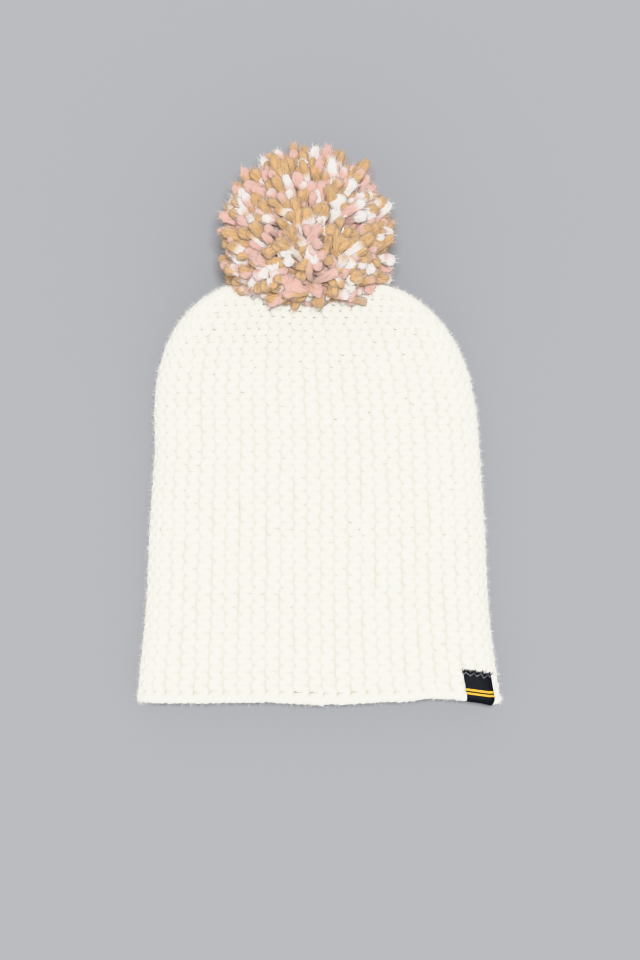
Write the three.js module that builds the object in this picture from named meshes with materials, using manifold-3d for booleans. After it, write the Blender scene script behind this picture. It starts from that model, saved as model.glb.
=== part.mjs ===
// A chunky knitted bobble hat, lying flat on its back on a table.
//
// The hat is one knitted tube, open at the hem and gathered to a tip at the crown. A yarn bobble is tied
// to that tip and lifts it off the table. A small woven label is sewn to the front and turned under the hem.
//
// Millimetres, +Z up. The hat's length runs along +Y, from the hem to the bobble, and its front faces +Z.

import * as THREE from "three";
import { mergeVertices } from "three/addons/utils/BufferGeometryUtils.js";
import Module from "manifold-3d";

// Driving dimensions of the knitted tube
const WALL = 7; // thickness of the knitted cloth
const BODY_LENGTH = 161; // from the hem to where the crown starts to round over
const CROWN_LENGTH = 111; // from there to the gathered tip
const CROWN_POWER = 2.6; // of the superellipse that rounds the crown: 2 is an ellipse, more is squarer
const CROWN_RISE = 26; // how far the bobble lifts the tip's middle above the body's
const CROWN_PUFF = 5; // how much fuller the crown's half thickness gets towards the tip
const CROWN_LEAN = -6; // sideways shift of the tip
const HEM_FADE = 60; // how far up the body the hem's waves still show

// The flattened tube, by distance from the hem
const BODY_SECTIONS = [
  { fromHem: 0, halfWidth: 116, thickness: 24, sag: 0.5, shift: 1.5 },
  { fromHem: 20, halfWidth: 113.5, thickness: 25, sag: 1.5, shift: 0.5 },
  { fromHem: 60, halfWidth: 109, thickness: 27, sag: 2.5, shift: 0 },
  { fromHem: 110, halfWidth: 106.8, thickness: 29, sag: 2.5, shift: 0 },
  { fromHem: 161, halfWidth: 103.3, thickness: 31, sag: 1.5, shift: 0 },
];

// The hem's line from one side fold to the other: how far it sits back towards the crown
const HEM_LINE = [
  { across: -118, back: 1.5 },
  { across: -80, back: 0 },
  { across: -40, back: 1 },
  { across: 0, back: -0.5 },
  { across: 45, back: 1 },
  { across: 81, back: 3 },
  { across: 118, back: -1.5 },
];

// Soft hollows pressed into the front layer of the crown
const DENTS = [
  { across: 52, fromHem: 236, radius: 34, depth: 4.5 },
  { across: -56, fromHem: 232, radius: 28, depth: 2.5 },
  { across: 8, fromHem: 206, radius: 30, depth: 2 },
];

// The bobble, whose middle is placed from the hem, and its radius along each half axis
const BOBBLE_MIDDLE = { across: -6.5, fromHem: 292, height: 50 };
const BOBBLE_RADIUS = { sideways: 55.5, outward: 61, inward: 43, upward: 55, downward: 53 };
const BOBBLE_POWER = 2.4; // how square its round is: 2 is a ball, more is squarer
const BOBBLE_TAPER = 0.08; // share by which its width shrinks towards the far end and grows towards the hat
const SEAT_GAP = 0.4; // clearance between the cloth and what is sewn or tied to it

// The label: a strip on the front whose lower end is turned under the hem
const LABEL_WIDTH = 17;
const LABEL_HEIGHT = 15;
const LABEL_THICKNESS = 1;
const LABEL_TURN_DEGREES = 100; // how far the strip follows the rounded hem
const LABEL_ACROSS = 103; // where its middle meets the hem
const LABEL_LEAN = 0.17; // it leans with the side fold, by this much per millimetre upwards

// Mesh density
const FLAT_STEPS = 18; // along each flat layer of a section
const FOLD_STEPS = 8; // round each side fold
const BODY_STEPS = 9;
const CROWN_STEPS = 12;
const HEM_STEPS = 6;
const BOBBLE_RINGS = 20;
const BOBBLE_SIDES = 32;
const LABEL_COLUMNS = 8;
const LABEL_TURN_ROWS = 5; // round the hem
const LABEL_FRONT_ROWS = 6; // up the front

const CLOTH_COLOUR = 0xf4efe2;
const BOBBLE_COLOUR = 0xdcae8e;
const LABEL_COLOUR = 0x1d1e22;

const HEM_RADIUS = WALL / 2;
const HAT_LENGTH = BODY_LENGTH + CROWN_LENGTH;

const wasm = await Module();
wasm.setup();

// A smooth function of one of a table's columns: it returns the values of the other named ones as an array.
function smoothTable(rows, place, columns) {
  const places = rows.map((row) => row[place]);
  const values = rows.flatMap((row) => columns.map((column) => row[column]));
  const curve = new THREE.CubicInterpolant(places, values, columns.length);
  return (at) => [...curve.evaluate(THREE.MathUtils.clamp(at, places[0], places.at(-1)))];
}

const bodyAt = smoothTable(BODY_SECTIONS, "fromHem", ["halfWidth", "thickness", "sag", "shift"]);
const hemBackAt = smoothTable(HEM_LINE, "across", ["back"]);

// How much of its full size the crown still has at a distance from the hem, from 1 down to 0 at the tip.
function crownShare(fromHem) {
  const along = THREE.MathUtils.clamp((fromHem - BODY_LENGTH) / CROWN_LENGTH, 0, 1);
  return { along, share: (1 - along ** CROWN_POWER) ** (1 / CROWN_POWER) };
}

// The outer section at a distance from the hem: its half sizes, its middle and the front layer's sag.
function sectionAt(fromHem) {
  const [halfWidth, thickness, sag, shift] = bodyAt(fromHem);
  const { along, share } = crownShare(fromHem);
  return {
    halfWidth,
    halfHeight: thickness / 2 + CROWN_PUFF * along ** 2,
    sag: sag * share,
    middleX: shift + CROWN_LEAN * along,
    middleZ: thickness / 2 + CROWN_RISE * along ** 2,
  };
}

// How far the front layer sinks below its flat height at a place on the hat.
function sinkAt(across, fromHem, flatHalf, sag) {
  const fromMiddle = THREE.MathUtils.clamp(across / Math.max(flatHalf, 1), -1, 1);
  let sink = sag * (1 - fromMiddle ** 2) ** 2;
  for (const dent of DENTS) {
    const away = Math.hypot(across - dent.across, fromHem - dent.fromHem) / dent.radius;
    sink += dent.depth * Math.max(0, 1 - away ** 2) ** 2;
  }
  return sink;
}

// A point of the cloth. The station says where its section stands, how deep the point lies below the outer
// face and what share of the crown's full size is left. The place says how far across the flat layers the
// point is, from -1 to 1, then which side fold it is on, how far up round that fold, and if it is in front.
function clothPoint(station, place) {
  const section = sectionAt(station.fromHem);
  const share = station.share ?? 1;
  const height = (section.halfHeight - station.depth) * share;
  const flatHalf = (section.halfWidth - section.halfHeight) * share;
  const x = place.flat * flatHalf + place.side * height * Math.cos(place.angle);
  let z = height * Math.sin(place.angle);
  if (place.front) z -= sinkAt(x, station.fromHem, flatHalf, section.sag) * Math.sin(place.angle);
  const fade = Math.max(0, 1 - station.fromHem / HEM_FADE) ** 2;
  const y = station.fromHem + hemBackAt(x)[0] * fade;
  return new THREE.Vector3(section.middleX + x, y, section.middleZ + z);
}

// The places round a section, counterclockwise seen from the crown's tip: back layer, fold, front, fold.
function placesRound() {
  const places = [];
  const quarter = Math.PI / 2;
  for (let i = 0; i < FLAT_STEPS; i++) {
    places.push({ flat: 1 - (2 * i) / FLAT_STEPS, side: 0, angle: -quarter, front: false });
  }
  for (let i = 0; i < FOLD_STEPS; i++) {
    const angle = -quarter + (Math.PI * i) / FOLD_STEPS;
    places.push({ flat: -1, side: -1, angle, front: angle > 0 });
  }
  for (let i = 0; i < FLAT_STEPS; i++) {
    places.push({ flat: -1 + (2 * i) / FLAT_STEPS, side: 0, angle: quarter, front: true });
  }
  for (let i = 0; i < FOLD_STEPS; i++) {
    const angle = quarter - (Math.PI * i) / FOLD_STEPS;
    places.push({ flat: 1, side: 1, angle, front: angle > 0 });
  }
  return places;
}

// The stations from the hem's edge to the last ring before the tip, at one depth in the cloth.
function stationsAt(depth, start) {
  const stations = [];
  for (let i = 0; i <= BODY_STEPS; i++) {
    stations.push({ fromHem: THREE.MathUtils.lerp(start, BODY_LENGTH, i / BODY_STEPS), depth });
  }
  for (let i = 1; i < CROWN_STEPS; i++) {
    const turn = ((Math.PI / 2) * i) / CROWN_STEPS;
    stations.push({
      fromHem: BODY_LENGTH + (CROWN_LENGTH - depth) * Math.sin(turn) ** (2 / CROWN_POWER),
      share: Math.cos(turn) ** (2 / CROWN_POWER),
      depth,
    });
  }
  return stations;
}

// The half-round stations that close the hem between the outer and the inner face.
function hemStations() {
  const stations = [];
  for (let i = 1; i < HEM_STEPS; i++) {
    const turn = (Math.PI * i) / HEM_STEPS;
    stations.push({
      fromHem: HEM_RADIUS * (1 - Math.sin(turn)),
      depth: HEM_RADIUS * (1 - Math.cos(turn)),
    });
  }
  return stations;
}

function tipAt(depth) {
  const fromHem = HAT_LENGTH - depth;
  const section = sectionAt(fromHem);
  return new THREE.Vector3(section.middleX, fromHem, section.middleZ);
}

// A closed surface through rings of equal length, with a point before the first and after the last.
function loft(firstTip, rings, lastTip) {
  const count = rings[0].length;
  const points = [firstTip, ...rings.flat(), lastTip];
  const lastIndex = points.length - 1;
  const at = (ring, i) => 1 + ring * count + (i % count);
  const index = [];
  for (let i = 0; i < count; i++) {
    index.push(0, at(0, i), at(0, i + 1));
    for (let ring = 0; ring + 1 < rings.length; ring++) {
      index.push(at(ring, i), at(ring + 1, i), at(ring, i + 1));
      index.push(at(ring, i + 1), at(ring + 1, i), at(ring + 1, i + 1));
    }
    index.push(lastIndex, at(rings.length - 1, i + 1), at(rings.length - 1, i));
  }
  return new THREE.BufferGeometry().setFromPoints(points).setIndex(index);
}

function ringsThrough(stations) {
  const places = placesRound();
  return stations.map((station) => places.map((place) => clothPoint(station, place)));
}

// The knitted tube: from the outer tip down to the hem, round it, and up the inside to the inner tip.
function knitBody() {
  const outside = stationsAt(0, HEM_RADIUS).reverse();
  const inside = stationsAt(WALL, HEM_RADIUS);
  return loft(tipAt(0), ringsThrough([...outside, ...hemStations(), ...inside]), tipAt(WALL));
}

// The crown's outer form, grown by the seat's gap and closed off inside the hat, to cut the bobble with.
function crownCutter() {
  const stations = stationsAt(-SEAT_GAP, HEM_RADIUS).slice(BODY_STEPS).reverse();
  const insideMiddle = sectionAt(BODY_LENGTH);
  const base = new THREE.Vector3(insideMiddle.middleX, BODY_LENGTH, insideMiddle.middleZ);
  return loft(tipAt(-SEAT_GAP), ringsThrough(stations), base);
}

function solidFrom(geometry) {
  const bare = geometry.clone();
  bare.deleteAttribute("normal");
  bare.deleteAttribute("uv");
  const merged = mergeVertices(bare);
  const triVerts = new Uint32Array(merged.index.array);
  const vertProperties = merged.attributes.position.array;
  return new wasm.Manifold(new wasm.Mesh({ numProp: 3, vertProperties, triVerts }));
}

function geometryFrom(solid) {
  const mesh = solid.getMesh();
  return new THREE.BufferGeometry()
    .setAttribute("position", new THREE.BufferAttribute(mesh.vertProperties, 3))
    .setIndex(new THREE.BufferAttribute(mesh.triVerts, 1));
}

// The bobble's outer form: a ball drawn out away from the hat, pressed flat on the table and cut to sit
// on the crown.
function bobble() {
  const ball = new THREE.SphereGeometry(1, BOBBLE_SIDES, BOBBLE_RINGS);
  const position = ball.getAttribute("position");
  for (let i = 0; i < position.count; i++) {
    const unit = new THREE.Vector3().fromBufferAttribute(position, i);
    const powers = unit.toArray().map((part) => Math.abs(part) ** BOBBLE_POWER);
    unit.multiplyScalar((powers[0] + powers[1] + powers[2]) ** (-1 / BOBBLE_POWER));
    const along = unit.y > 0 ? BOBBLE_RADIUS.outward : BOBBLE_RADIUS.inward;
    const up = unit.z > 0 ? BOBBLE_RADIUS.upward : BOBBLE_RADIUS.downward;
    const height = BOBBLE_MIDDLE.height + unit.z * up;
    position.setXYZ(
      i,
      BOBBLE_MIDDLE.across + unit.x * BOBBLE_RADIUS.sideways * (1 - BOBBLE_TAPER * unit.y),
      BOBBLE_MIDDLE.fromHem + unit.y * along,
      Math.max(0, height),
    );
  }
  return geometryFrom(solidFrom(ball).subtract(solidFrom(crownCutter())));
}

// A point of the front layer, by x and distance from the hem, at a depth below the outer face.
function frontPoint(x, station) {
  const section = sectionAt(station.fromHem);
  const fromMiddle = x - section.middleX;
  const height = section.halfHeight - station.depth;
  const flatHalf = section.halfWidth - section.halfHeight;
  const pastFlat = Math.max(0, Math.abs(fromMiddle) - flatHalf);
  const angle = Math.acos(Math.min(1, pastFlat / height));
  const side = Math.sign(fromMiddle);
  const flat = pastFlat > 0 ? side : fromMiddle / flatHalf;
  return clothPoint(station, { flat, side, angle, front: true });
}

// A thin closed strip between two grids of points, one on each face.
function slab(columns, rows, pointAt) {
  const points = [];
  for (const face of [0, 1]) {
    for (let row = 0; row <= rows; row++) {
      for (let column = 0; column <= columns; column++) points.push(pointAt(column, row, face));
    }
  }
  const at = (column, row, face) => (face * (rows + 1) + row) * (columns + 1) + column;
  const index = [];
  const quad = (a, b, c, d) => index.push(a, b, c, a, c, d);
  for (let row = 0; row < rows; row++) {
    for (let column = 0; column < columns; column++) {
      const [right, next] = [column + 1, row + 1];
      quad(at(column, row, 1), at(right, row, 1), at(right, next, 1), at(column, next, 1));
      quad(at(column, row, 0), at(column, next, 0), at(right, next, 0), at(right, row, 0));
    }
    quad(at(0, row, 0), at(0, row, 1), at(0, row + 1, 1), at(0, row + 1, 0));
    quad(at(columns, row, 0), at(columns, row + 1, 0), at(columns, row + 1, 1), at(columns, row, 1));
  }
  for (let column = 0; column < columns; column++) {
    const right = column + 1;
    quad(at(column, 0, 0), at(right, 0, 0), at(right, 0, 1), at(column, 0, 1));
    quad(at(column, rows, 0), at(column, rows, 1), at(right, rows, 1), at(right, rows, 0));
  }
  return new THREE.BufferGeometry().setFromPoints(points).setIndex(index);
}

// The label follows the cloth: round the hem in its first rows, then up the front.
function label() {
  const turn = THREE.MathUtils.degToRad(LABEL_TURN_DEGREES);
  return slab(LABEL_COLUMNS, LABEL_TURN_ROWS + LABEL_FRONT_ROWS, (column, row, face) => {
    const outwards = SEAT_GAP + face * LABEL_THICKNESS;
    const up = Math.max(0, row - LABEL_TURN_ROWS) * (LABEL_HEIGHT / LABEL_FRONT_ROWS);
    const angle = turn * (1 - Math.min(1, row / LABEL_TURN_ROWS));
    const reach = HEM_RADIUS + outwards;
    const station = {
      fromHem: HEM_RADIUS + up - reach * Math.sin(angle),
      depth: HEM_RADIUS - reach * Math.cos(angle),
    };
    const across = (column / LABEL_COLUMNS - 0.5) * LABEL_WIDTH;
    return frontPoint(LABEL_ACROSS + across - LABEL_LEAN * up, station);
  });
}

function piece(name, geometry, color) {
  const finish = { color, roughness: 0.95, metalness: 0 };
  const mesh = new THREE.Mesh(geometry, new THREE.MeshStandardMaterial(finish));
  mesh.name = name;
  return mesh;
}

const hat = new THREE.Group();
hat.add(piece("knit_body", knitBody(), CLOTH_COLOUR));
hat.add(piece("bobble", bobble(), BOBBLE_COLOUR));
hat.add(piece("label", label(), LABEL_COLOUR));

// The origin is under the middle of the whole hat, on the table.
const extent = new THREE.Box3().setFromObject(hat);
const middle = extent.getCenter(new THREE.Vector3());
hat.position.set(-middle.x, -middle.y, -extent.min.z);

const part = new THREE.Group();
part.add(hat);

export default part;
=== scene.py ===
# A chunky garter-stitch hat with a yarn bobble, laid flat on its back and seen from straight above.
#
# The knit is real yarn: every row is one looped strand that follows the hat's wall. The bobble is a sheaf of
# cut strands, and the label is a woven strip folded over the hem.

import math

import bpy
import numpy as np
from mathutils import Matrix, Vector
from mathutils.bvhtree import BVHTree


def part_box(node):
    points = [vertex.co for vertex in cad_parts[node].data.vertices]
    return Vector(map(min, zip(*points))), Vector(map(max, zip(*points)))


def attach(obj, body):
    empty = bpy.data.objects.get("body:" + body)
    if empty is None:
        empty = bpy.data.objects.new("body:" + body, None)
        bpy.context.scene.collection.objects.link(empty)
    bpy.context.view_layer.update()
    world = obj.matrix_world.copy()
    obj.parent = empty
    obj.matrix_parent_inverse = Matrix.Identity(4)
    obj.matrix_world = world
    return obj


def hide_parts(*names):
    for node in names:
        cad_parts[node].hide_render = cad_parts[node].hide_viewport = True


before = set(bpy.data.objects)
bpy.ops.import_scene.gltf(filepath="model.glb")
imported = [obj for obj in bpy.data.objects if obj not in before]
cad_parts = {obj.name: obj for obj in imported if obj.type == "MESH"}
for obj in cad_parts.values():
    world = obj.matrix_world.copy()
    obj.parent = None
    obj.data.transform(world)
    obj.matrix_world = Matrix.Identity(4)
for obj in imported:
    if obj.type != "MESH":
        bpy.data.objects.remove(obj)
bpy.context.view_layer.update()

MM = 0.001
LABEL_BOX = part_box("label")

# Driving dimensions of the knit
CLOTH = 7.0 * MM  # thickness of the knitted wall
RIDGES = 54  # round the hat, each made by two rows
ROWS = 2 * RIDGES
STITCH = 8.2 * MM  # along a row
STITCHES = 35.3  # in a row, from the hem to the crown's tip
STITCH_SLIP = 0.45  # share of the crown's longer sides that extra stitches take up
YARN_RADIUS = 2.3 * MM
HEM_YARN_RADIUS = 1.15 * YARN_RADIUS
LOOP_LEAN = 1.2 * MM  # how far a loop's two ends lie in front of and behind the wall's middle
LOOP_REACH = 1.12  # of a loop to each side of its row, in rows
LOOP_SWELL = 0.17  # how far a loop's head is wider than its neck, in stitches
HEM_TURN = 0.38  # length of the turn that joins two rows at the hem, in stitches
TENSION_WAVES = 0.45  # waves of uneven tension, for each row or stitch
TENSION_PULL = (4.0, 1.5, 0.0)  # how much of them shifts rows, and how much shifts stitches
POINTS_PER_STITCH = 11
BACK_POINTS_PER_STITCH = 8  # on the side that lies on the table
POINTS_PER_HEM_RIDGE = 12
YARN_SIDES = 6

# Stray fibres
FIBRE_SIDES = 3
FIBRE_LENGTHS = (0.5, 1.3)  # shortest and longest, as shares of their length
FIBRE_CLEARANCE = 2.2  # least height of a root over the floor, in fibre lengths
FIBRE_FACING = -0.2  # they grow where the yarn faces out of the cloth by more than this
FLAT_FIBRES = 0.25  # share of them where the wall lies flat
STEEP, FLAT = 0.35, 0.95  # how far up the wall faces where they are densest, and where they are fewest

# How the hat's wall is traced
FAR = 1.0  # where rays start, well outside the hat
RING_COLUMNS = 2 * ROWS
RING_RAYS = 1500
RING_SMOOTHING = 3  # passes
WALL_RINGS = 90
RING_CROWDING = 1.8  # 1 spaces them evenly, more crowds them towards the tip
FIRST_RING = 10 * MM  # from the hem
LAST_RING = 0.6 * MM  # from the tip
TIP_OPENING = 0.05  # how far the gathered rows end from the tip, as a share of the last ring
SEAM_OVERLAP = 8  # columns by which the surface runs past its own seam, at both ends
GATHER_LIMITS = (0.3, 1.1)  # of a ring's length, as a share of the body's, that thins the yarn

# Driving dimensions of the bobble
TIE = Vector((4.0, -35.0, 20.0)) * MM  # from the bobble's middle to the tie that its strands spring from
TUFT = 13 * MM  # across a tuft of strands that curl the same way
DYE_PATCH = 24 * MM  # across a patch of strands cut from the same place of the dyed yarn
STRAND_LUMP = 7 * MM  # along a strand from one swelling to the next
FIBRE_CLUMP = 5 * MM  # across a clump of fibres on a strand
POINTS_PER_PLY = 3  # round a strand

# Driving dimensions of the label
LABEL_LEAN = 2.55 * MM  # how far the label's hem end sits to the side of its sewn end
LABEL_TURN = math.radians(100)  # how far it goes round the hem
LABEL_FRONT = 15.0 * MM  # its height on the front
LABEL_LIFT = 1.2 * MM  # of its outer face over the cloth
LABEL_THICKNESS = 0.7 * MM
LABEL_COLUMNS = 12
LABEL_FRONT_ROWS = 14
LABEL_TURN_ROWS = 8
STRIPE_PLACES = (0.5, 0.6)  # down the label, as shares of its flat length
STRIPE_HALF_WIDTH = 0.6 * MM

# The studio
ROOM_LIGHT = 0.65
LAMP_STRENGTH = 5.05
LAMP_SPREAD = math.radians(12)
LAMP_WAY = Vector((-0.02, -0.05, -1.0))
FLOOR_REACH = 3.0
PIXEL = 0.632 * MM  # of the hat, in a frame of 640 by 960 pixels
FRAME_HEIGHT = 960
CAMERA_DISTANCE = 3.5
CAMERA_AIM = Vector((0.5, -34.7, 18.0)) * MM  # the middle of the frame, at the height of the hat's front
SENSOR = 36.0

NODE_PREFIXES = ("GeometryNode", "ShaderNode", "FunctionNode")


def linear(hex_colour):
    """An sRGB hex colour as linear red, green, blue and alpha."""
    parts = [int(hex_colour[i:i + 2], 16) / 255 for i in (1, 3, 5)]
    return [c / 12.92 if c <= 0.04045 else ((c + 0.055) / 1.055) ** 2.4 for c in parts] + [1.0]


def result(node):
    """A node's first output in use."""
    return next(output for output in node.outputs if output.enabled)


def add(tree, kind, *values, named=None, **settings):
    """Adds a node of a kind, named without its prefix, with its settings.

    Its inputs in use are set or linked in order, or by name, and a node gives its first output in use.
    """
    full_kind = next(prefix + kind for prefix in NODE_PREFIXES if hasattr(bpy.types, prefix + kind))
    made = tree.nodes.new(full_kind)
    for name, value in settings.items():
        setattr(made, name, value)
    sockets = [socket for socket in made.inputs if socket.enabled]
    for key, value in [*enumerate(values), *(named or {}).items()]:
        if value is None:
            continue
        socket = sockets[key] if isinstance(key, int) else next(s for s in sockets if s.name == key)
        if isinstance(value, bpy.types.Node):
            value = result(value)
        if isinstance(value, bpy.types.NodeSocket):
            tree.links.new(value, socket)
        else:
            socket.default_value = value
    return made


def new_tree(name, sizes):
    """A geometry tree with named inputs, returned with its input node's outputs and its output node."""
    tree = bpy.data.node_groups.new(name, "GeometryNodeTree")
    tree.interface.new_socket("Geometry", in_out="INPUT", socket_type="NodeSocketGeometry")
    tree.interface.new_socket("Geometry", in_out="OUTPUT", socket_type="NodeSocketGeometry")
    for size, value in sizes.items():
        kind = {int: "NodeSocketInt", float: "NodeSocketFloat", tuple: "NodeSocketVector"}[type(value)]
        tree.interface.new_socket(size, in_out="INPUT", socket_type=kind).default_value = value
    return tree, tree.nodes.new("NodeGroupInput").outputs, tree.nodes.new("NodeGroupOutput")


def close_tree(tree, end, material, *parts):
    """Ends a tree: its parts joined, made real and given their material."""
    joined = add(tree, "JoinGeometry")
    for part in parts:
        tree.links.new(result(part), joined.inputs[0])
    real = add(tree, "RealizeInstances", joined)
    real = add(tree, "SetMaterial", real, None, material)
    tree.links.new(result(real), end.inputs[0])
    return tree


def plain_mesh(piece, name):
    """Makes what a piece's modifiers give its plain mesh, and removes them."""
    shape = piece.evaluated_get(bpy.context.evaluated_depsgraph_get())
    made = bpy.data.meshes.new_from_object(shape)
    made.name = name
    piece.modifiers.clear()
    piece.data = made


def grow(name, mesh, tree, sizes=None):
    """A piece whose plain mesh is what the tree makes of the given one, with some of its sizes set."""
    piece = bpy.data.objects.new(name, mesh)
    bpy.context.scene.collection.objects.link(piece)
    modifier = piece.modifiers.new(tree.name, "NODES")
    modifier.node_group = tree
    for socket in tree.interface.items_tree:
        if socket.in_out == "INPUT" and socket.name in (sizes or {}):
            modifier[socket.identifier] = sizes[socket.name]
    plain_mesh(piece, name)
    return piece


def new_material(name, roughness, specular=0.5):
    """A material with its tree and its shader."""
    material = bpy.data.materials.new(name)
    material.use_nodes = True
    shader = material.node_tree.nodes["Principled BSDF"]
    shader.inputs["Roughness"].default_value = roughness
    shader.inputs["Specular IOR Level"].default_value = specular
    return material, material.node_tree, shader


# The surface that the knit follows

def solid_body():
    """The hat's solid body, for rays to be cast at."""
    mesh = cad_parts["knit_body"].data
    return BVHTree.FromPolygons([v.co for v in mesh.vertices], [p.vertices for p in mesh.polygons])


def outer_ring(body, y, middle):
    """Points round the outer face at one y, from the back's middle round by +X, and the middle of the ring.

    Rays cast inwards find them. The middle given is that of a ring nearby.
    """
    front = body.ray_cast(Vector((middle.x, y, FAR)), Vector((0, 0, -1)))[0]
    back = body.ray_cast(Vector((middle.x, y, -FAR)), Vector((0, 0, 1)))[0]
    height = (front.z + back.z) / 2
    left = body.ray_cast(Vector((-FAR, y, height)), Vector((1, 0, 0)))[0]
    right = body.ray_cast(Vector((FAR, y, height)), Vector((-1, 0, 0)))[0]
    middle = Vector(((left.x + right.x) / 2, y, height))
    points = []
    for turn in np.linspace(0, 2 * math.pi, RING_RAYS, endpoint=False):
        way = Vector((math.sin(turn), 0, -math.cos(turn)))
        hit = body.ray_cast(middle + way * FAR, -way)[0]
        if hit:
            points.append(hit)
    return np.array(points), middle


def even_ring(points):
    """A closed ring resampled to equal steps, with the corners of its facets smoothed away."""
    closed = np.vstack([points, points[:1]])
    run = np.concatenate([[0], np.cumsum(np.linalg.norm(np.diff(closed, axis=0), axis=1))])
    steps = np.linspace(0, run[-1], RING_COLUMNS, endpoint=False)
    ring = np.stack([np.interp(steps, run, closed[:, axis]) for axis in range(3)], axis=1)
    for _ in range(RING_SMOOTHING):
        ring = (np.roll(ring, 1, axis=0) + 2 * ring + np.roll(ring, -1, axis=0)) / 4
    return ring


def outer_rings(body):
    """The outer face as even rings, from near the hem to near the tip."""
    low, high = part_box("knit_body")
    first = low.y + FIRST_RING
    last = high.y - LAST_RING
    middle = (low + high) / 2
    rings = []
    for along in np.linspace(0, 1, WALL_RINGS):
        y = first + (last - first) * (1 - (1 - along) ** RING_CROWDING)
        points, middle = outer_ring(body, y, middle)
        rings.append(even_ring(points))
    return np.array(rings)


def wall_middle():
    """The middle of the wall as rings of points, from half a stitch below the hem to the gathered tip."""
    body = solid_body()
    outer = outer_rings(body)
    across = np.roll(outer, -1, axis=1) - np.roll(outer, 1, axis=1)
    up = np.gradient(outer, axis=0)
    normal = np.cross(up, across)
    normal /= np.linalg.norm(normal, axis=2, keepdims=True)
    wall = outer - normal * CLOTH / 2

    # The hem's edge is found column by column, and the rings carried on down to it
    slope = (wall[0] - wall[2]) / (wall[0] - wall[2])[:, 1:2]
    hem = wall[0].copy()
    for column, point in enumerate(wall[0]):
        edge = body.ray_cast(Vector((point[0], -FAR, point[2])), Vector((0, 1, 0)))[0]
        hem[column] = point + slope[column] * (edge.y + YARN_RADIUS - point[1])
    below = hem - slope * STITCH / 2
    halfway = hem * 0.5 + wall[0] * 0.5

    # The crown is gathered: every row runs on to the tip
    tip = wall[-1].mean(axis=0)
    gathered = tip + (wall[-1] - tip) * TIP_OPENING
    return np.concatenate([[below, hem, halfway], wall, [gathered]])


def cloth_surface():
    """The wall's middle as an open grid, with rows and stitches as its UV map and the gather of its rows."""
    wall = wall_middle()
    steps = np.linalg.norm(np.diff(wall, axis=0), axis=2)
    arc = np.concatenate([np.zeros((1, RING_COLUMNS)), np.cumsum(steps, axis=0)])
    front = arc[:, RING_COLUMNS // 2]
    stitches = ((1 - STITCH_SLIP) * front[:, None] + STITCH_SLIP * arc) / STITCH - HEM_TURN - 0.5
    stitches[-1] = STITCHES + 0.5
    perimeter = np.linalg.norm(np.roll(wall, -1, axis=1) - wall, axis=2).sum(axis=1)
    gather = np.clip(perimeter / perimeter[len(wall) // 3], *GATHER_LIMITS)

    order = np.arange(-SEAM_OVERLAP, RING_COLUMNS + SEAM_OVERLAP + 1)
    width = len(order)
    grid = wall[:, order % RING_COLUMNS].reshape(-1, 3)
    row_share = np.broadcast_to(order / RING_COLUMNS, (len(wall), width))
    stitch_share = stitches[:, order % RING_COLUMNS] / STITCHES
    uv = np.stack([row_share, stitch_share], axis=2).reshape(-1, 2)
    faces = [(r * width + c, (r + 1) * width + c, (r + 1) * width + c + 1, r * width + c + 1)
             for r in range(len(wall) - 1) for c in range(width - 1)]
    mesh = bpy.data.meshes.new("wall_surface")
    mesh.from_pydata(grid.tolist(), [], faces)
    layer = mesh.uv_layers.new(name="cloth")
    corners = np.array([loop.vertex_index for loop in mesh.loops])
    layer.data.foreach_set("uv", uv[corners].ravel())
    mesh.attributes.new("gather", "FLOAT", "POINT").data.foreach_set("value", np.repeat(gather, width))
    mesh.shade_smooth()
    return mesh


# Yarn

def spin(tree, curves, profile):
    """Yarn round the curves at their radius, with the place along and around it for its fibres' lines."""
    along = add(tree, "SplineParameter").outputs["Length"]
    heading = add(tree, "InputTangent")
    around = add(tree, "InputPosition")
    radius = add(tree, "InputRadius")
    curves = add(tree, "StoreNamedAttribute", curves, None, "along", along)
    curves = add(tree, "StoreNamedAttribute", curves, None, "heading", heading, data_type="FLOAT_VECTOR")
    profile = add(tree, "StoreNamedAttribute", profile, None, "around", around, data_type="FLOAT_VECTOR")
    yarn = add(tree, "CurveToMesh", curves, profile, radius, True)
    return add(tree, "SetShadeSmooth", yarn)


def stray_fibres(tree, size, yarn, where, crowd):
    """Fine fibres that stand up from a yarn's surface at all angles and lean along it, clear of the floor."""
    place = add(tree, "InputPosition")
    height = add(tree, "SeparateXYZ", place).outputs["Z"]
    least = add(tree, "Math", size["Fibre length"], FIBRE_CLEARANCE, operation="MULTIPLY")
    clear = add(tree, "Compare", height, least, operation="GREATER_THAN")
    rooted = add(tree, "BooleanMath", where, clear, operation="AND")
    density = add(tree, "Math", size["Fibres"], crowd, operation="MULTIPLY")
    roots = add(tree, "DistributePointsOnFaces", yarn, rooted,
                named={"Density": density, "Seed": size["Seed"]}).outputs
    heading = add(tree, "InputNamedAttribute", "heading", data_type="FLOAT_VECTOR")
    along = add(tree, "VectorMath", heading, size["Fibre lean"], operation="SCALE")
    rough = add(tree, "RandomValue", (-1, -1, -1), (1, 1, 1), data_type="FLOAT_VECTOR")
    way = add(tree, "VectorMath", roots["Normal"], along, operation="ADD")
    way = add(tree, "VectorMath", way, rough, operation="ADD")
    leaning = add(tree, "AlignRotationToVector", None, None, way, axis="Z")
    fibre = add(tree, "MeshCone", FIBRE_SIDES, 1, 1, 0.0, size["Fibre radius"], size["Fibre length"])
    long = add(tree, "RandomValue", *FIBRE_LENGTHS)
    return add(tree, "InstanceOnPoints", roots["Points"], None, fibre,
               named={"Rotation": leaning, "Scale": long})


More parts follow.
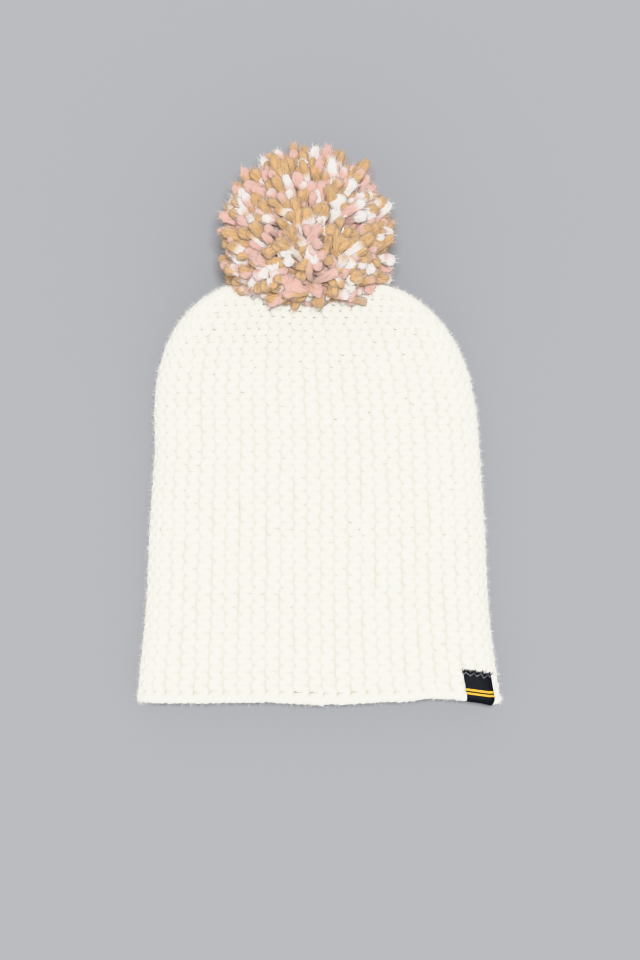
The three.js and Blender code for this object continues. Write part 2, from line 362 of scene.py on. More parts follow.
def spun_fibre(name, sheen, twist, relief):
    """Spun fibre is matt, with a faint bloom at its edges and lines of fibre that wind along the yarn."""
    material, tree, shader = new_material(name, roughness=0.95, specular=0.2)
    shader.inputs["Sheen Weight"].default_value = sheen
    shader.inputs["Sheen Roughness"].default_value = 0.5

    # Single fibres are too fine to show, so the lines are drawn about 1 mm wide and 8 mm long
    lines_across = 3.6  # in a yarn's radius
    line_length = 8 * MM
    along = add(tree, "Attribute", attribute_name="along").outputs["Fac"]
    around = add(tree, "Attribute", attribute_name="around").outputs["Vector"]
    angle = add(tree, "Math", along, 2 * math.pi / twist, operation="MULTIPLY")
    wound = add(tree, "VectorRotate", around, None, angle, rotation_type="Z_AXIS")
    wound = add(tree, "VectorMath", wound, (lines_across, lines_across, 0.0), operation="MULTIPLY")
    run = add(tree, "Math", along, line_length, operation="DIVIDE")
    run = add(tree, "CombineXYZ", 0.0, 0.0, run)
    place = add(tree, "VectorMath", wound, run, operation="ADD")
    lines = add(tree, "TexNoise", place, named={"Scale": 1.0, "Detail": 2.0})
    bump = add(tree, "Bump", named={"Strength": 0.8, "Distance": relief, "Height": lines})
    tree.links.new(result(bump), shader.inputs["Normal"])
    return material, tree, shader, lines


# The knit

KNIT_SIZES = {
    "Yarn radius": YARN_RADIUS,
    "Loop lean": LOOP_LEAN,
    "Hem turn": HEM_TURN,
    "Wander": 0.22,  # of rows and stitches
    "Fibres": 90000.0,  # on a square metre of yarn
    "Edge fibres": 4.5,  # times as many where the wall is steep
    "Fibre radius": 0.09 * MM,
    "Fibre length": 3.0 * MM,
    "Fibre lean": 0.0,
    "Label": tuple((LABEL_BOX[0] + LABEL_BOX[1]) / 2),
    "Label reach": (LABEL_BOX[1] - LABEL_BOX[0]).length / 2,  # no fibre stands nearer to the label
    "Seed": 3,
}


def lay_on_wall(tree, size, curves, rows, stitches, lift):
    """Carries curves from cloth coordinates (rows, stitches, metres out) to the wall, at yarn radius."""
    # Hand tension: rows and stitches wander a little
    seeded = add(tree, "CombineXYZ", rows, stitches, size["Seed"])
    noise = add(tree, "TexNoise", seeded, named={"Scale": TENSION_WAVES, "Detail": 1.0})
    centred = add(tree, "VectorMath", noise.outputs["Color"], (0.5, 0.5, 0.5), operation="SUBTRACT")
    wander = add(tree, "VectorMath", centred, size["Wander"], operation="SCALE")
    shift = add(tree, "VectorMath", wander, TENSION_PULL, operation="MULTIPLY")
    plain = add(tree, "CombineXYZ", rows, stitches)
    placed = add(tree, "VectorMath", plain, shift, operation="ADD")
    uv = add(tree, "VectorMath", placed, (1 / ROWS, 1 / STITCHES, 0), operation="MULTIPLY")

    cloth_map = add(tree, "InputNamedAttribute", "cloth", data_type="FLOAT_VECTOR")
    fields = {
        "place": (add(tree, "InputPosition"), "FLOAT_VECTOR"),
        "normal": (add(tree, "InputNormal"), "FLOAT_VECTOR"),
        "gather": (add(tree, "InputNamedAttribute", "gather"), "FLOAT"),
    }
    wall = {}
    for name, (field, kind) in fields.items():
        wall[name] = add(tree, "SampleUVSurface", size["Geometry"], field, cloth_map, uv, data_type=kind)

    # The crown's gathered rows are thinner, and no yarn sinks into the floor
    depth = add(tree, "Math", lift, size["Loop lean"], operation="DIVIDE")
    lift = add(tree, "Math", lift, wall["gather"], operation="MULTIPLY")
    out = add(tree, "VectorMath", wall["normal"], lift, operation="SCALE")
    laid = add(tree, "VectorMath", wall["place"], out, operation="ADD")
    radius = add(tree, "Math", wall["gather"], 0.5, operation="POWER")
    radius = add(tree, "Math", radius, size["Yarn radius"], operation="MULTIPLY")
    least = add(tree, "CombineXYZ", -FAR, -FAR, radius)
    resting = add(tree, "VectorMath", laid, least, operation="MAXIMUM")
    curves = add(tree, "StoreNamedAttribute", curves, None, "outward", wall["normal"],
                 data_type="FLOAT_VECTOR")
    curves = add(tree, "StoreNamedAttribute", curves, None, "depth", depth)
    curves = add(tree, "SetCurveRadius", curves, None, radius)
    return add(tree, "SetPosition", curves, None, resting)


def knitted_yarn(tree, size, curves):
    """Yarn round laid curves that knows how deep each side of it lies in the cloth, and its stray fibres."""
    profile = add(tree, "CurvePrimitiveCircle", YARN_SIDES, 1.0)
    yarn = spin(tree, curves, profile)
    normal = add(tree, "InputNormal")
    outward = add(tree, "InputNamedAttribute", "outward", data_type="FLOAT_VECTOR")
    facing = add(tree, "VectorMath", normal, outward, operation="DOT_PRODUCT").outputs["Value"]
    depth = add(tree, "InputNamedAttribute", "depth")
    # How hollow each side of the yarn lies, which the yarn's material turns into painted shade
    hollow = add(tree, "Math", depth, facing, operation="MULTIPLY")
    hollow = add(tree, "Math", hollow, -1.0, operation="MULTIPLY")
    yarn = add(tree, "StoreNamedAttribute", yarn, None, "hollow", hollow)

    # Fibres stand outside the cloth and clear of the label, and more of them where the wall is steep
    place = add(tree, "InputPosition")
    outside = add(tree, "Compare", facing, FIBRE_FACING, operation="GREATER_THAN")
    away = add(tree, "VectorMath", place, size["Label"], operation="DISTANCE").outputs["Value"]
    free = add(tree, "Compare", away, size["Label reach"], operation="GREATER_THAN")
    where = add(tree, "BooleanMath", outside, free, operation="AND")
    level = add(tree, "SeparateXYZ", outward).outputs["Z"]
    level = add(tree, "Math", level, operation="ABSOLUTE")
    crowd = add(tree, "MapRange", level, STEEP, FLAT, size["Edge fibres"], FLAT_FIBRES)
    return yarn, stray_fibres(tree, size, yarn, where, crowd)


def looped_row(tree, size, start):
    """One row in cloth coordinates: its loops swing from side to side and lean through the wall."""
    place = add(tree, "InputPosition")
    place = add(tree, "SeparateXYZ", place).outputs
    start = add(tree, "CombineXYZ", None, start)
    stop = add(tree, "CombineXYZ", None, size["Stitches"])
    line = add(tree, "CurvePrimitiveLine", start, stop)
    line = add(tree, "ResampleCurve", line, None, size["Points"])
    knitted = add(tree, "Math", place["Y"], 0.0, operation="MAXIMUM")
    turn = add(tree, "Math", knitted, 2 * math.pi, math.pi / 2, operation="MULTIPLY_ADD")
    swing = add(tree, "Math", turn, operation="COSINE")
    twice = add(tree, "Math", turn, 2.0, operation="MULTIPLY")
    swell = add(tree, "Math", twice, operation="SINE")
    across = add(tree, "Math", swing, size["Loop reach"], operation="MULTIPLY")
    along = add(tree, "Math", swell, size["Loop swell"], place["Y"], operation="MULTIPLY_ADD")

    # A loop keeps to one face for most of its reach and passes through the wall quickly
    steep = add(tree, "Math", swing, 2.0, operation="MULTIPLY")
    through = add(tree, "Math", steep, operation="TANH")
    through = add(tree, "Math", through, size["Loop lean"], operation="MULTIPLY")
    loops = add(tree, "CombineXYZ", across, along, through)
    return add(tree, "SetPosition", line, None, loops)


def garter_tree(material):
    """Looped rows laid on a wall: each ridge is two rows whose loops lean opposite ways and interlock."""
    # Each panel sets its own first ridge, ridges and points in a row
    tree, size, end = new_tree("garter_stitch", {
        "First ridge": 0, "Ridges": 0, "Points": 0, "Stitches": STITCHES,
        "Loop reach": LOOP_REACH, "Loop swell": LOOP_SWELL, **KNIT_SIZES})
    below = add(tree, "Math", size["Hem turn"], -1.0, operation="MULTIPLY")
    row = looped_row(tree, size, below)
    other = add(tree, "Transform", row, named={"Translation": (1, 0, 0), "Scale": (1, 1, -1)})
    pair = add(tree, "JoinGeometry")
    for half in (row, other):
        tree.links.new(result(half), pair.inputs[0])

    # All ridges, in cloth coordinates
    place = add(tree, "InputPosition")
    cloth = add(tree, "SeparateXYZ", place).outputs
    first = add(tree, "Math", size["First ridge"], 2.0, operation="MULTIPLY")
    first = add(tree, "CombineXYZ", first)
    ridges = add(tree, "MeshLine", size["Ridges"], first, (2, 0, 0))
    middle = add(tree, "Math", cloth["X"], 0.5, operation="ADD")
    ridges = add(tree, "StoreNamedAttribute", ridges, None, "ridge", middle)
    rows = add(tree, "InstanceOnPoints", ridges, None, pair)
    rows = add(tree, "RealizeInstances", rows)

    # At the hem the two rows of a ridge turn into each other
    past = add(tree, "Math", cloth["Y"], below, operation="DIVIDE", use_clamp=True)
    squared = add(tree, "Math", past, past, operation="MULTIPLY")
    rest = add(tree, "Math", 1.0, squared, operation="SUBTRACT", use_clamp=True)
    stay = add(tree, "Math", rest, operation="SQRT")
    ridge = add(tree, "InputNamedAttribute", "ridge")
    off = add(tree, "Math", cloth["X"], ridge, operation="SUBTRACT")
    turned = add(tree, "Math", off, stay, ridge, operation="MULTIPLY_ADD")
    lift = add(tree, "Math", cloth["Z"], stay, operation="MULTIPLY")
    rows = lay_on_wall(tree, size, rows, turned, cloth["Y"], lift)
    return close_tree(tree, end, material, *knitted_yarn(tree, size, rows))


def hem_tree(material):
    """The hem's edge: a chain of two strands that pass round each other once in each ridge."""
    tree, size, end = new_tree("chain_edge", {
        "Points": RIDGES * POINTS_PER_HEM_RIDGE, "Chain sway": 0.07, "Chain drop": 0.06,
        **KNIT_SIZES, "Yarn radius": HEM_YARN_RADIUS, "Fibres": 1000000.0, "Edge fibres": 0.4})
    line = add(tree, "CurvePrimitiveLine", (0, 0, 0), (ROWS, 0, 0))
    line = add(tree, "ResampleCurve", line, None, size["Points"])
    strands = add(tree, "DuplicateElements", line, None, 2, domain="SPLINE")
    place = add(tree, "InputPosition")
    rows = add(tree, "SeparateXYZ", place).outputs["X"]
    turn = add(tree, "Math", rows, strands.outputs["Duplicate Index"], operation="ADD")
    turn = add(tree, "Math", turn, math.pi, operation="MULTIPLY")
    sway = add(tree, "Math", turn, operation="COSINE")
    sway = add(tree, "Math", sway, 1.0, operation="ADD")
    sway = add(tree, "Math", sway, size["Chain sway"], operation="MULTIPLY")
    stitches = add(tree, "Math", sway, size["Hem turn"], operation="SUBTRACT")
    stitches = add(tree, "Math", stitches, size["Chain drop"], operation="SUBTRACT")
    lift = add(tree, "Math", turn, operation="SINE")
    lift = add(tree, "Math", lift, size["Loop lean"], operation="MULTIPLY")
    strands = lay_on_wall(tree, size, strands, rows, stitches, lift)
    return close_tree(tree, end, material, *knitted_yarn(tree, size, strands))


def ivory_yarn():
    """Soft spun acrylic and wool: near white where it swells out, with painted shade that darkens it down
    between loops.
    """
    material, tree, shader, _ = spun_fibre("ivory_spun_yarn", sheen=0.2, twist=30 * MM, relief=0.5 * MM)

    # It is below 0 on a loop's head, and near 1 on yarn that lies deep in the cloth, where painted shade
    # darkens the colour towards grey
    hollow = add(tree, "Attribute", attribute_name="hollow").outputs["Fac"]
    painted_shade = add(tree, "MapRange", hollow, -0.1, 0.8, 0.0, 1.0)
    colour = add(tree, "Mix", painted_shade, linear("#E7E5DE"), linear("#828275"), data_type="RGBA")
    tree.links.new(result(colour), shader.inputs["Base Color"])
    return material


def knit():
    """The hat's body, knitted in four panels of ridges that share one wall, with one edge round the hem."""
    surface = cloth_surface()
    material = ivory_yarn()
    tree = garter_tree(material)
    panels = ["knit_back_right", "knit_front_right", "knit_front_left", "knit_back_left"]
    share = RIDGES / len(panels)
    pieces = [grow("knit_hem_edge", surface.copy(), hem_tree(material))]
    for number, name in enumerate(panels):
        first = round(number * share)
        count = round((number + 1) * share) - first
        fineness = BACK_POINTS_PER_STITCH if "back" in name else POINTS_PER_STITCH
        points = round((STITCHES + HEM_TURN) * fineness) + 1
        sizes = {"First ridge": first, "Ridges": count, "Points": points}
        pieces.append(grow(name, surface.copy(), tree, sizes))
    for piece in pieces:
        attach(piece, "root")
        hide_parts("knit_body")


# The bobble

STRAND_SIZES = {
    "Spacing": 4.6 * MM,  # between neighbouring cut ends
    "Most ends": 60000.0,  # on a square metre of the form
    "Inset": 2.8 * MM,  # of the ends below the form, so that full strands end on it
    "Tie": (0.0, 0.0, 0.0),  # where all strands spring from
    "Crest": 8.0 * MM,  # none ends nearer than this to the line straight up from the tie
    "Shortest": 0.9,  # of the way from the tie to the form
    "Longest": 1.0,
    "Made part": 0.88,  # of a strand; the rest is hidden at the tie
    "Rings": 11,
    "Knee": (0.65, 0.65, 0.6),  # where it bends, as shares of the way to its end
    "Bend": 14.0 * MM,  # how far the knee strays
    "Turn out": 0.28,  # how far the knee lies inwards, so that the end turns out, as a share of the length
    "Curl": 5.0 * MM,  # how far the end strays
    "Own curl": 0.5,  # times that for a strand by itself
    "Tuft curl": 4.0,  # times that for all strands of a tuft together
    "Strand radius": 3.7 * MM,  # near the cut end
    "Thinnest": 0.85,  # strands, as shares of that radius
    "Fullest": 1.3,
    "Tip": 0.94,  # where the end starts to round over
    "Tip round": 0.97,  # 1 closes it to a point
    "Clearance": 1.3,  # of a strand's middle over what it rests on, in radii
    "Plies": 3,
    "Crease": 0.15,  # depth between two plies, as a share of the radius
    "Twist": 55.0 * MM,  # length of one turn of the plies
    "Clumps": 1.5 * MM,  # how far clumps of fibre stand out
    "Dye repeat": 70.0 * MM,  # along the yarn
    "Dye change": 5.0,  # repeats from patch to patch
    "Dye stray": 0.4,  # repeats from strand to strand
    "Seed": 5,
}


def cut_ends(tree, size):
    """The strands' cut ends as points on a form, each with what its strand is like."""
    place = add(tree, "InputPosition")
    spaced = {"Distance Min": size["Spacing"], "Density Max": size["Most ends"], "Seed": size["Seed"]}
    ends = add(tree, "DistributePointsOnFaces", size["Geometry"], named=spaced, distribute_method="POISSON")
    outwards = ends.outputs["Normal"]
    out = add(tree, "VectorMath", outwards, size["Inset"], operation="SCALE")
    inside = add(tree, "VectorMath", place, out, operation="SUBTRACT")
    ends = add(tree, "SetPosition", ends, None, inside)

    # None stands straight up over the tie, so the strands part there
    spread = add(tree, "VectorMath", place, size["Tie"], operation="SUBTRACT")
    level = add(tree, "VectorMath", spread, (1, 1, 0), operation="MULTIPLY")
    distance = add(tree, "VectorMath", level, operation="LENGTH").outputs["Value"]
    near = add(tree, "Compare", distance, size["Crest"], operation="LESS_THAN")
    ends = add(tree, "DeleteGeometry", ends, near)

    # Its way from the tie, and how far in its knee lies
    reach = add(tree, "RandomValue", size["Shortest"], size["Longest"])
    reach = add(tree, "VectorMath", spread, reach, operation="SCALE")
    length = add(tree, "VectorMath", reach, operation="LENGTH").outputs["Value"]
    turn_out = add(tree, "Math", length, size["Turn out"], operation="MULTIPLY")
    turn_out = add(tree, "VectorMath", outwards, turn_out, operation="SCALE")

    # Its bend by chance, its curl with its tuft, its dye with its patch, and how full it is
    bend = add(tree, "RandomValue", (-1, -1, -1), (1, 1, 1), named={"Seed": 1}, data_type="FLOAT_VECTOR")
    curl = add(tree, "RandomValue", (-1, -1, -1), (1, 1, 1), named={"Seed": 4}, data_type="FLOAT_VECTOR")
    curl = add(tree, "VectorMath", curl, size["Own curl"], operation="SCALE")
    tuft = add(tree, "TexNoise", place, named={"Scale": 1 / TUFT, "Detail": 0.0}).outputs["Color"]
    tuft = add(tree, "VectorMath", tuft, (0.5, 0.5, 0.5), operation="SUBTRACT")
    tuft = add(tree, "VectorMath", tuft, size["Tuft curl"], operation="SCALE")
    curl = add(tree, "VectorMath", curl, tuft, operation="ADD")
    stray = add(tree, "RandomValue", 0.0, size["Dye stray"], named={"Seed": 2})
    patch = add(tree, "TexNoise", place, named={"Scale": 1 / DYE_PATCH, "Detail": 0.0})
    cut = add(tree, "Math", patch, size["Dye change"], stray, operation="MULTIPLY_ADD")
    plump = add(tree, "RandomValue", size["Thinnest"], size["Fullest"], named={"Seed": 3})
    for name, value in {"reach": reach, "turn_out": turn_out, "bend": bend, "curl": curl}.items():
        ends = add(tree, "StoreNamedAttribute", ends, None, name, value, data_type="FLOAT_VECTOR")
    for name, value in {"cut": cut, "plump": plump}.items():
        ends = add(tree, "StoreNamedAttribute", ends, None, name, value)
    return ends


def bent_strands(tree, size, ends):
    """Curves that leave the tie, pass a knee and run outwards to their ends, with more rings near the end."""
    line = add(tree, "CurvePrimitiveLine", (0, 0, 0), (0, 0, 1))
    line = add(tree, "ResampleCurve", line, None, size["Rings"])
    strands = add(tree, "InstanceOnPoints", ends, None, line)
    strands = add(tree, "RealizeInstances", strands)
    factor = add(tree, "SplineParameter").outputs["Factor"]
    left = add(tree, "Math", 1.0, factor, operation="SUBTRACT")
    left = add(tree, "Math", left, 2.0, operation="POWER")
    left = add(tree, "Math", left, size["Made part"], operation="MULTIPLY")
    gone = add(tree, "Math", 1.0, left, operation="SUBTRACT")
    strands = add(tree, "StoreNamedAttribute", strands, None, "gone", gone)

    gone = add(tree, "InputNamedAttribute", "gone")
    left = add(tree, "Math", 1.0, gone, operation="SUBTRACT")
    end_share = add(tree, "Math", gone, gone, operation="MULTIPLY")
    knee_share = add(tree, "Math", gone, left, operation="MULTIPLY")
    knee_share = add(tree, "Math", knee_share, 2.0, operation="MULTIPLY")
    to_end = add(tree, "InputNamedAttribute", "reach", data_type="FLOAT_VECTOR")
    to_knee = add(tree, "VectorMath", to_end, size["Knee"], operation="MULTIPLY")
    bend = add(tree, "InputNamedAttribute", "bend", data_type="FLOAT_VECTOR")
    bend = add(tree, "VectorMath", bend, size["Bend"], operation="SCALE")
    to_knee = add(tree, "VectorMath", to_knee, bend, operation="ADD")
    turn_out = add(tree, "InputNamedAttribute", "turn_out", data_type="FLOAT_VECTOR")
    to_knee = add(tree, "VectorMath", to_knee, turn_out, operation="SUBTRACT")
    by_end = add(tree, "VectorMath", to_end, end_share, operation="SCALE")
    by_knee = add(tree, "VectorMath", to_knee, knee_share, operation="SCALE")
    path = add(tree, "VectorMath", by_end, by_knee, operation="ADD")
    path = add(tree, "VectorMath", path, size["Tie"], operation="ADD")
    curl = add(tree, "InputNamedAttribute", "curl", data_type="FLOAT_VECTOR")
    late = add(tree, "Math", end_share, end_share, operation="MULTIPLY")
    late = add(tree, "Math", late, size["Curl"], operation="MULTIPLY")
    curl = add(tree, "VectorMath", curl, late, operation="SCALE")
    path = add(tree, "VectorMath", path, curl, operation="ADD")
    return add(tree, "SetPosition", strands, None, path)


def rested_strands(tree, size, strands, crown):
    """Strands that get fuller towards the cut end, unevenly, and rest on the crown and on the floor."""
    place = add(tree, "InputPosition")
    gone = add(tree, "InputNamedAttribute", "gone")
    plump = add(tree, "InputNamedAttribute", "plump")

    # Half as thick at the tie as at the end, up to a quarter more or less at lumps, and domed at the tip
    flare = add(tree, "Math", gone, gone, operation="MULTIPLY")
    flare = add(tree, "Math", flare, 0.5, 0.5, operation="MULTIPLY_ADD")
    full = add(tree, "Math", flare, plump, operation="MULTIPLY")
    full = add(tree, "Math", full, size["Strand radius"], operation="MULTIPLY")
    lumps = add(tree, "TexNoise", place, named={"Scale": 1 / STRAND_LUMP, "Detail": 1.0})
    lumps = add(tree, "Math", lumps, 0.5, 0.75, operation="MULTIPLY_ADD")
    tip = add(tree, "MapRange", gone, size["Tip"], 1.0, 0.0, size["Tip round"])
    tip = add(tree, "Math", tip, tip, operation="MULTIPLY")
    tip = add(tree, "Math", 1.0, tip, operation="SUBTRACT")
    domed = add(tree, "Math", tip, operation="SQRT")
    radius = add(tree, "Math", full, domed, operation="MULTIPLY")
    radius = add(tree, "Math", radius, lumps, operation="MULTIPLY")

    # Rays from above find the crown, and where they miss it they give the floor's height
    over = add(tree, "VectorMath", place, (1, 1, 0), operation="MULTIPLY")
    over = add(tree, "VectorMath", over, (0, 0, FAR), operation="ADD")
    body = add(tree, "ObjectInfo", crown).outputs["Geometry"]
    seat = add(tree, "Raycast", body,
               named={"Source Position": over, "Ray Direction": (0, 0, -1), "Ray Length": 2 * FAR})
    seat = add(tree, "SeparateXYZ", seat.outputs["Hit Position"]).outputs["Z"]
    least = add(tree, "Math", full, size["Clearance"], seat, operation="MULTIPLY_ADD")
    least = add(tree, "CombineXYZ", -FAR, -FAR, least)
    resting = add(tree, "VectorMath", place, least, operation="MAXIMUM")
    strands = add(tree, "SetCurveRadius", strands, None, radius)
    return add(tree, "SetPosition", strands, None, resting)


def dyed_and_twisted(tree, size, strands):
    """Strands with their place in the dyed repeat, each cut from another place along it, and their twist."""
    along = add(tree, "SplineParameter").outputs["Length"]
    cut = add(tree, "InputNamedAttribute", "cut")
    dye = add(tree, "Math", along, size["Dye repeat"], operation="DIVIDE")
    dye = add(tree, "Math", dye, cut, operation="ADD")
    turns = add(tree, "Math", along, size["Twist"], operation="DIVIDE")
    turns = add(tree, "Math", turns, cut, operation="ADD")
    turns = add(tree, "Math", turns, 2 * math.pi, operation="MULTIPLY")
    strands = add(tree, "StoreNamedAttribute", strands, None, "dye", dye)
    return add(tree, "SetCurveTilt", strands, None, turns)


def plied_round(tree, size):
    """A strand's round, with a crease between each two plies."""
    place = add(tree, "InputPosition")
    number = add(tree, "InputIndex")
    sides = add(tree, "Math", size["Plies"], POINTS_PER_PLY, operation="MULTIPLY")
    profile = add(tree, "CurvePrimitiveCircle", sides, 1.0)
    creased = add(tree, "Math", number, POINTS_PER_PLY, operation="MODULO")
    creased = add(tree, "Math", creased, 0.5, operation="LESS_THAN")
    inwards = add(tree, "Math", creased, size["Crease"], operation="MULTIPLY")
    inwards = add(tree, "Math", 1.0, inwards, operation="SUBTRACT")
    lobes = add(tree, "VectorMath", place, inwards, operation="SCALE")
    return add(tree, "SetPosition", profile, None, lobes)


def strand_tree(material, crown):
    """Cut strands of thick soft yarn that spring from one tie and spread until their ends lie over a form."""
    tree, size, end = new_tree("cut_strands", STRAND_SIZES)
    strands = bent_strands(tree, size, cut_ends(tree, size))
    strands = dyed_and_twisted(tree, size, strands)
    strands = rested_strands(tree, size, strands, crown)
    yarn = spin(tree, strands, plied_round(tree, size))
    place = add(tree, "InputPosition")
    normal = add(tree, "InputNormal")
    clumps = add(tree, "TexNoise", place, named={"Scale": 1 / FIBRE_CLUMP, "Detail": 1.0})
    clumps = add(tree, "Math", clumps, 0.5, operation="SUBTRACT")
    clumps = add(tree, "Math", clumps, size["Clumps"], operation="MULTIPLY")
    puffed = add(tree, "VectorMath", normal, clumps, operation="SCALE")
    yarn = add(tree, "SetPosition", yarn, None, None, puffed)
    return close_tree(tree, end, material, yarn)


def fluff_tree(material):
    """Stray fibres on the outer part of strands, without the strands. Each is drawn as a wisp of several."""
    tree, size, end = new_tree("stray_fluff", {
        "Fibres": 143000.0, "Fibre radius": 0.12 * MM, "Fibre length": 3.4 * MM, "Fibre lean": 1.7,
        "Outer part": 0.8, "Fewest": 0.3, "Most": 2.0, "Seed": 8})
    gone = add(tree, "InputNamedAttribute", "gone")
    outer = add(tree, "Compare", gone, size["Outer part"], operation="GREATER_THAN")
    crowd = add(tree, "MapRange", gone, size["Outer part"], 1.0, size["Fewest"], size["Most"])
    return close_tree(tree, end, material, stray_fibres(tree, size, size["Geometry"], outer, crowd))


def dyed_yarn():
    """Space-dyed roving: tan, dusty pink and white follow each other along the strand, with soft changes."""
    material, tree, shader, lines = spun_fibre("space_dyed_roving", sheen=0.4, twist=60 * MM, relief=1.6 * MM)
    dye = add(tree, "Attribute", attribute_name="dye").outputs["Fac"]
    place = add(tree, "Math", dye, operation="FRACT")
    ramp = add(tree, "ValToRGB", place)
    tan, pink, white = "#B8966E", "#CFAA9F", "#DCD7D3"
    stops = [(0.0, tan), (0.36, tan), (0.44, pink), (0.74, pink), (0.8, white), (0.94, white), (1.0, tan)]
    for position, _ in stops[1:-1]:
        ramp.color_ramp.elements.new(position)
    for element, (position, colour) in zip(ramp.color_ramp.elements, stops):
        element.position = position
        element.color = linear(colour)

    # Down between the strands the colours go over to a deep tan as painted shade, and the lines of fibre
    # darken and lighten them all in painted streaks of shade and light between the fibres
    gone = add(tree, "Attribute", attribute_name="gone").outputs["Fac"]
    painted_shade = add(tree, "MapRange", gone, 0.5, 0.85, 0.5, 0.0)
    colour = add(tree, "Mix", painted_shade, ramp.outputs["Color"], linear("#B48C62"), data_type="RGBA")
    shade = add(tree, "MapRange", lines, 0.35, 0.65, 0.72, 1.1)
    colour = add(tree, "VectorMath", colour, shade, operation="SCALE")
    tree.links.new(result(colour), shader.inputs["Base Color"])
    return material


def bobble():
    """The bobble: strands whose ends lie over the bobble's form, and the fluff on them."""
    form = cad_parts["bobble"].data.copy()
    low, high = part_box("bobble")
    tie = (low + high) / 2 + TIE
    material = dyed_yarn()
    tree = strand_tree(material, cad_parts["knit_body"])
    strands = grow("bobble_strands", form, tree, {"Tie": tuple(tie)})
    fluff = grow("bobble_fluff", strands.data.copy(), fluff_tree(material))
    for piece in (strands, fluff):
        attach(piece, "root")
        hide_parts("bobble")


# The label

def label_line(body, foot):
    """Points of the label's outer face at one place across it: down the front and round the hem."""
    hem = LABEL_BOX[0].y + CLOTH
    for _ in range(3):  # the hem's edge and the seat behind it are found from each other
        seat, normal = body.ray_cast(Vector((foot, hem + CLOTH / 2, FAR)), Vector((0, 0, -1)))[:2]
        middle = seat - normal * CLOTH / 2
        hem = body.ray_cast(Vector((foot, -FAR, middle.z)), Vector((0, 1, 0)))[0].y
    line = []
    for row in range(LABEL_FRONT_ROWS):
        up = LABEL_FRONT * (1 - row / LABEL_FRONT_ROWS)
        over = Vector((foot - LABEL_LEAN * up / LABEL_FRONT, seat.y + up, FAR))
        hit, normal = body.ray_cast(over, Vector((0, 0, -1)))[:2]
        line.append(hit + normal * LABEL_LIFT)
    normal = (seat - middle).normalized()
    for row in range(LABEL_TURN_ROWS + 1):
        angle = LABEL_TURN * row / LABEL_TURN_ROWS
        way = normal * math.cos(angle) - Vector((0, 1, 0)) * math.sin(angle)
        line.append(middle + way * (CLOTH / 2 + LABEL_LIFT))
    return line


def label_sheet():
    """The label's outer face as a grid with its cut size as its UV map, its flat size and its sewn edge."""
    body = solid_body()
    low, high = LABEL_BOX
    width = high.x - low.x - LABEL_LEAN
    grid = []
    cut = []
    for column in range(LABEL_COLUMNS + 1):
        across = width * column / LABEL_COLUMNS
        line = label_line(body, low.x + LABEL_LEAN + across)
        run = 0.0
        for number, point in enumerate(line):
            run += (point - line[number - 1]).length if number else 0.0
            cut.append((across, run))
        grid += line
    height = len(line)
    faces = [(c * height + r, c * height + r + 1, (c + 1) * height + r + 1, (c + 1) * height + r)
             for c in range(LABEL_COLUMNS) for r in range(height - 1)]
    mesh = bpy.data.meshes.new("label_strip")
    mesh.from_pydata(grid, [], faces)
    layer = mesh.uv_layers.new(name="cut")
    for loop in mesh.loops:
        layer.data[loop.index].uv = cut[loop.vertex_index]
    mesh.shade_smooth()
    flat = (width, cut[-1][1])
    sewn_edge = grid[::height]
    return mesh, flat, sewn_edge


def stitch_tree(material):
    """A zigzag of sewing thread below an edge, a little ragged."""
    tree, size, end = new_tree("edge_stitches", {
        "Points": 9, "Height": 2.4 * MM, "Drop": 2.6 * MM, "Thread radius": 0.28 * MM, "Thread sides": 6,
        "Lift": 0.1 * MM, "Rough": 0.8 * MM, "Seed": 4})
    line = add(tree, "MeshToCurve", size["Geometry"])
    line = add(tree, "ResampleCurve", line, None, size["Points"])
    number = add(tree, "InputIndex")
    side = add(tree, "Math", number, 2.0, operation="MODULO")
    up = add(tree, "Math", side, size["Height"], operation="MULTIPLY")
    up = add(tree, "Math", up, size["Drop"], operation="SUBTRACT")
    zigzag = add(tree, "CombineXYZ", 0.0, up, size["Lift"])
    rough = add(tree, "RandomValue", (-0.5, -0.5, 0.0), (0.5, 0.5, 0.3),
                named={"Seed": size["Seed"]}, data_type="FLOAT_VECTOR")
    rough = add(tree, "VectorMath", rough, size["Rough"], operation="SCALE")
    offset = add(tree, "VectorMath", zigzag, rough, operation="ADD")
    line = add(tree, "SetPosition", line, None, None, offset)
    profile = add(tree, "CurvePrimitiveCircle", size["Thread sides"], size["Thread radius"])
    thread = add(tree, "CurveToMesh", line, profile, 1.0, True)
    thread = add(tree, "SetShadeSmooth", thread)
    return close_tree(tree, end, material, thread)


def fray_tree(material):
    """Cut threads that stick out along an edge, all ways but mostly upwards along the cloth."""
    tree, size, end = new_tree("frayed_edge", {
        "Threads": 150, "Thread radius": 0.22 * MM, "Thread tip": 0.02 * MM, "Thread length": 2.5 * MM,
        "Thread sides": 4, "Rough": 1.0 * MM, "Seed": 6})
    line = add(tree, "MeshToCurve", size["Geometry"])
    roots = add(tree, "CurveToPoints", line, size["Threads"])
    rough = add(tree, "RandomValue", (-0.8, -1.8, -0.5), (0.8, 0.3, 0.2),
                named={"Seed": size["Seed"]}, data_type="FLOAT_VECTOR")
    rough = add(tree, "VectorMath", rough, size["Rough"], operation="SCALE")
    roots = add(tree, "SetPosition", roots, None, None, rough)
    way = add(tree, "RandomValue", (-2.0, -0.9, -0.9), (-0.7, 0.9, 0.9),
              named={"Seed": size["Seed"]}, data_type="FLOAT_VECTOR")
    thread = add(tree, "MeshCone", size["Thread sides"], 1, 1, size["Thread tip"],
                 size["Thread radius"], size["Thread length"])
    threads = add(tree, "InstanceOnPoints", roots, None, thread, named={"Rotation": way})
    return close_tree(tree, end, material, threads)


